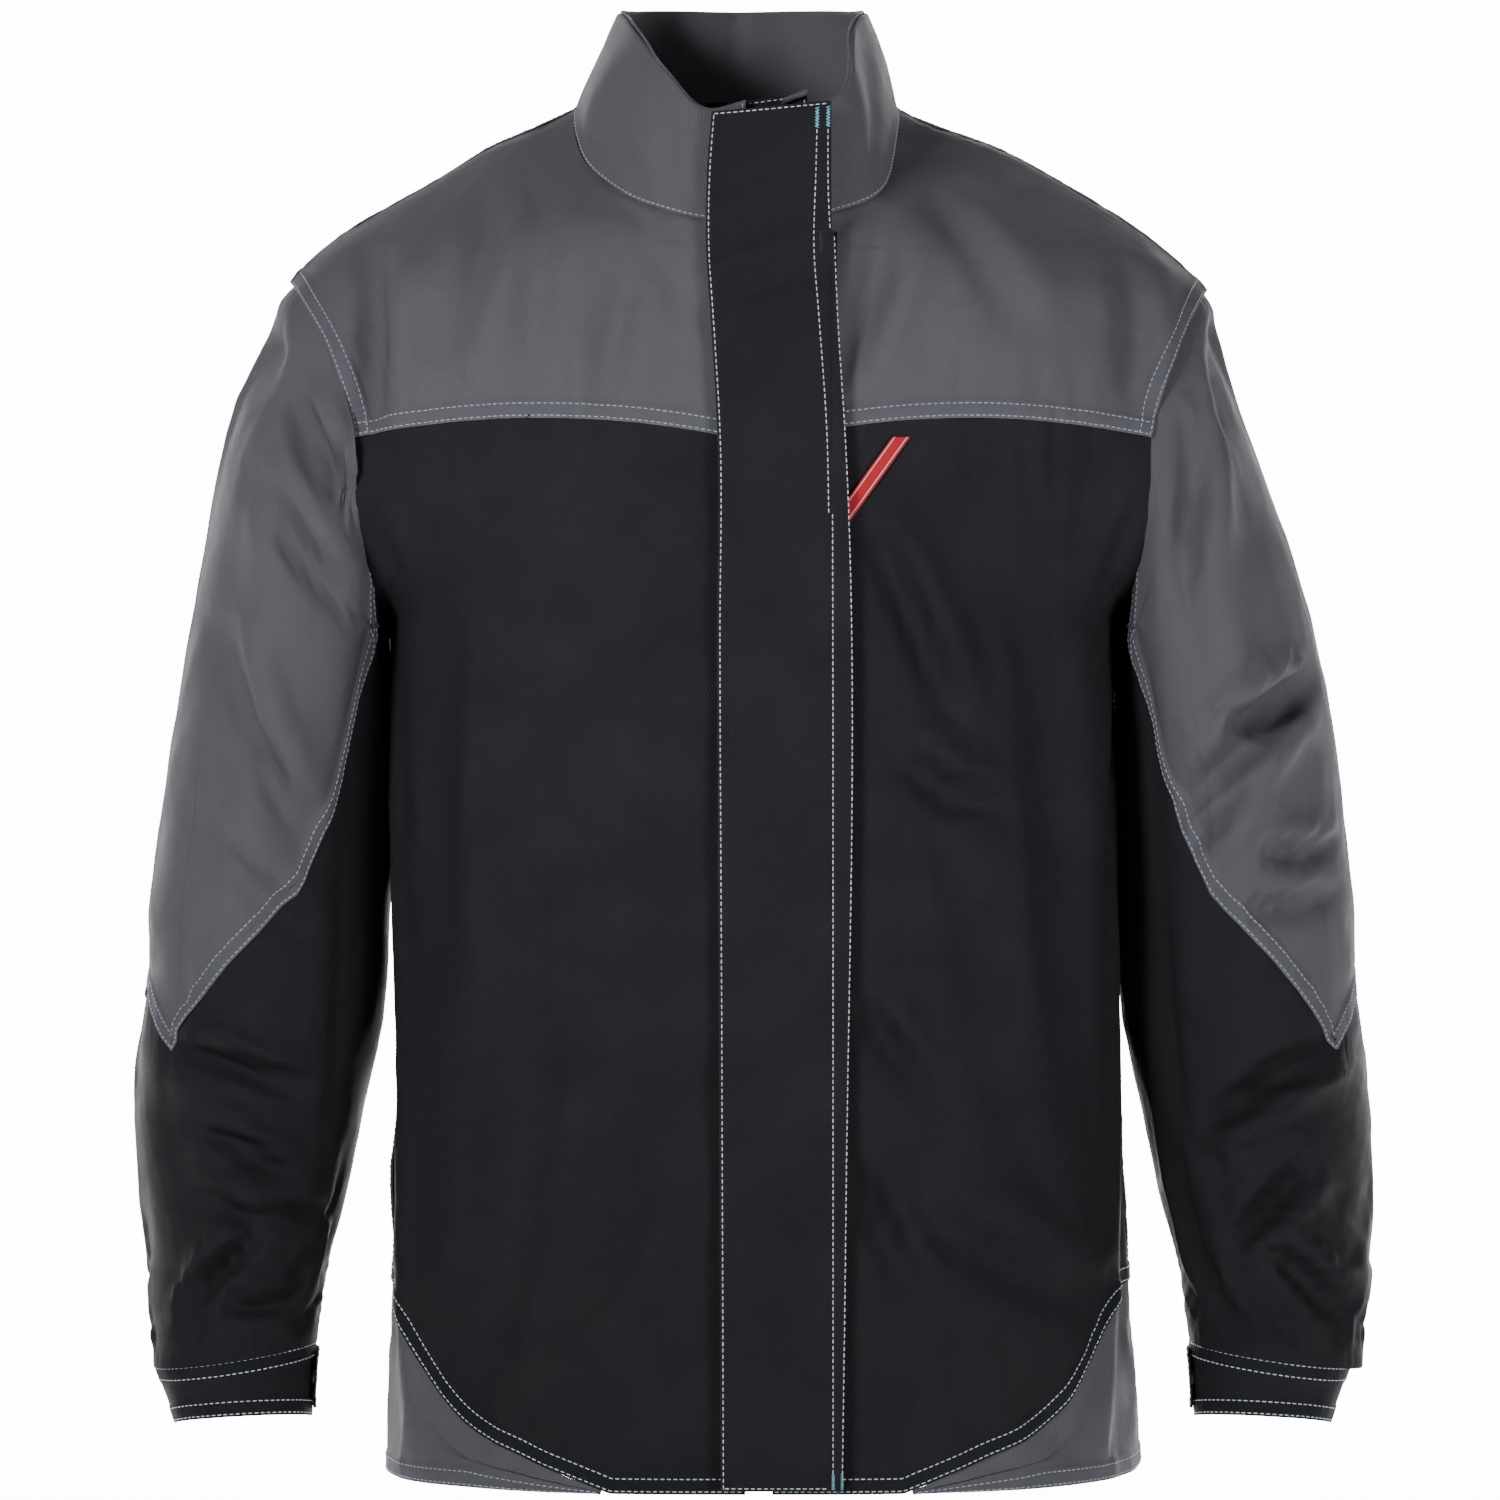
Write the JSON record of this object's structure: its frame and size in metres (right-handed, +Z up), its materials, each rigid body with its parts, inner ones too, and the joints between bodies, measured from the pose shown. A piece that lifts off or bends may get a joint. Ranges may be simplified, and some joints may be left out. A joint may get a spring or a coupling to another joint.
{
  "type": "welding jacket",
  "caption": "Two-tone woven welding jacket with stand collar, zip under a full-length snap storm flap, contrast yokes, side pockets and long sleeves with snap-tab cuffs.",
  "frame": {"origin": "middle of the hanger loop inside the centre back neck", "axes": "+Z up towards the collar, -Y the jacket's front, -X the wearer's right"},
  "size_m": [0.678, 0.2782, 0.8071],
  "materials": {
    "black_twill": "black flame-retardant cotton twill, matt with a slight sheen on folds",
    "grey_twill": "mid-grey flame-retardant cotton twill, matt",
    "collar_lining_twill": "dark grey twill",
    "red_label": "woven red label, satin",
    "zip_tape_black": "knitted zip tape",
    "pocket_cotton": "plain-weave pocket cotton",
    "snap_metal": "oxidised steel, satin",
    "zip_brass": "antique brass"
  },
  "bodies": {
    "jacket_body": {"back_panel": "black_twill", "back_yoke": "grey_twill", "chest_label": "red_label", "collar_lining": "collar_lining_twill", "collar_outer": "grey_twill", "flap_seam_band": "black_twill", "front_facing_left": "black_twill", "front_facing_right": "black_twill", "front_panel_left": "black_twill", "front_panel_right": "black_twill", "front_yoke_left": "grey_twill", "front_yoke_right": "grey_twill", "hanger_loop": "black_twill", "hem_side_panel_left": "grey_twill", "hem_side_panel_right": "grey_twill", "pocket_bag_left": "pocket_cotton", "pocket_bag_right": "pocket_cotton", "pocket_facing_left": "grey_twill", "pocket_facing_right": "grey_twill", "snap_stud_1": "snap_metal", "snap_stud_2": "snap_metal", "snap_stud_3": "snap_metal", "snap_stud_4": "snap_metal", "snap_stud_5": "snap_metal", "wind_guard": "black_twill", "zip_bottom_box": "zip_brass", "zip_tape_left": "zip_tape_black", "zip_tape_right": "zip_tape_black", "zip_teeth_left": "zip_brass", "zip_teeth_right": "zip_brass"},
    "storm_flap": {"storm_flap": "black_twill", "snap_socket_1": "snap_metal", "snap_socket_2": "snap_metal", "snap_socket_3": "snap_metal", "snap_socket_4": "snap_metal", "snap_socket_5": "snap_metal"},
    "zip_slider": {"zip_slider": "zip_brass"},
    "zip_pull": {"zip_pull": "zip_brass"},
    "sleeve_left": {"sleeve_top_panel_left": "grey_twill", "sleeve_under_panel_left": "black_twill", "cuff_left": "black_twill", "cuff_snap_stud_left": "snap_metal"},
    "cuff_tab_left": {"cuff_tab_left": "black_twill", "cuff_snap_socket_left": "snap_metal"},
    "sleeve_right": {"sleeve_top_panel_right": "grey_twill", "sleeve_under_panel_right": "black_twill", "cuff_right": "black_twill", "cuff_snap_stud_right": "snap_metal"},
    "cuff_tab_right": {"cuff_tab_right": "black_twill", "cuff_snap_socket_right": "snap_metal"}
  },
  "joints": [
    {"name": "storm_flap_hinge", "type": "hinge", "parent": "jacket_body", "child": "storm_flap", "pos_m": [0.0428, -0.19515, -0.39249], "axis": [0, 0.0723, 0.9974], "range_deg": [0, 170]},
    {"name": "zip_slide", "type": "slide", "parent": "jacket_body", "child": "zip_slider", "axis": [0, 0.0723, 0.9974], "range_m": [-0.67, 0]},
    {"name": "zip_pull_hinge", "type": "hinge", "parent": "zip_slider", "child": "zip_pull", "pos_m": [0.003, -0.16582, -0.05433], "axis": [-1, 0, 0], "range_deg": [0, 5]},
    {"name": "shoulder_left", "type": "hinge", "parent": "jacket_body", "child": "sleeve_left", "pos_m": [0.25, -0.07, -0.1115], "axis": [0, -1, 0], "range_deg": [0, 70]},
    {"name": "shoulder_right", "type": "hinge", "parent": "jacket_body", "child": "sleeve_right", "pos_m": [-0.25, -0.07, -0.1115], "axis": [0, 1, 0], "range_deg": [0, 70]},
    {"name": "cuff_tab_hinge_left", "type": "hinge", "parent": "sleeve_left", "child": "cuff_tab_left", "pos_m": [0.25058, -0.06772, -0.70549], "axis": [0.001, -0.267, -0.9637], "range_deg": [0, 70]},
    {"name": "cuff_tab_hinge_right", "type": "hinge", "parent": "sleeve_right", "child": "cuff_tab_right", "pos_m": [-0.25058, -0.06772, -0.70549], "axis": [0.001, 0.267, 0.9637], "range_deg": [0, 70]}
  ]
}
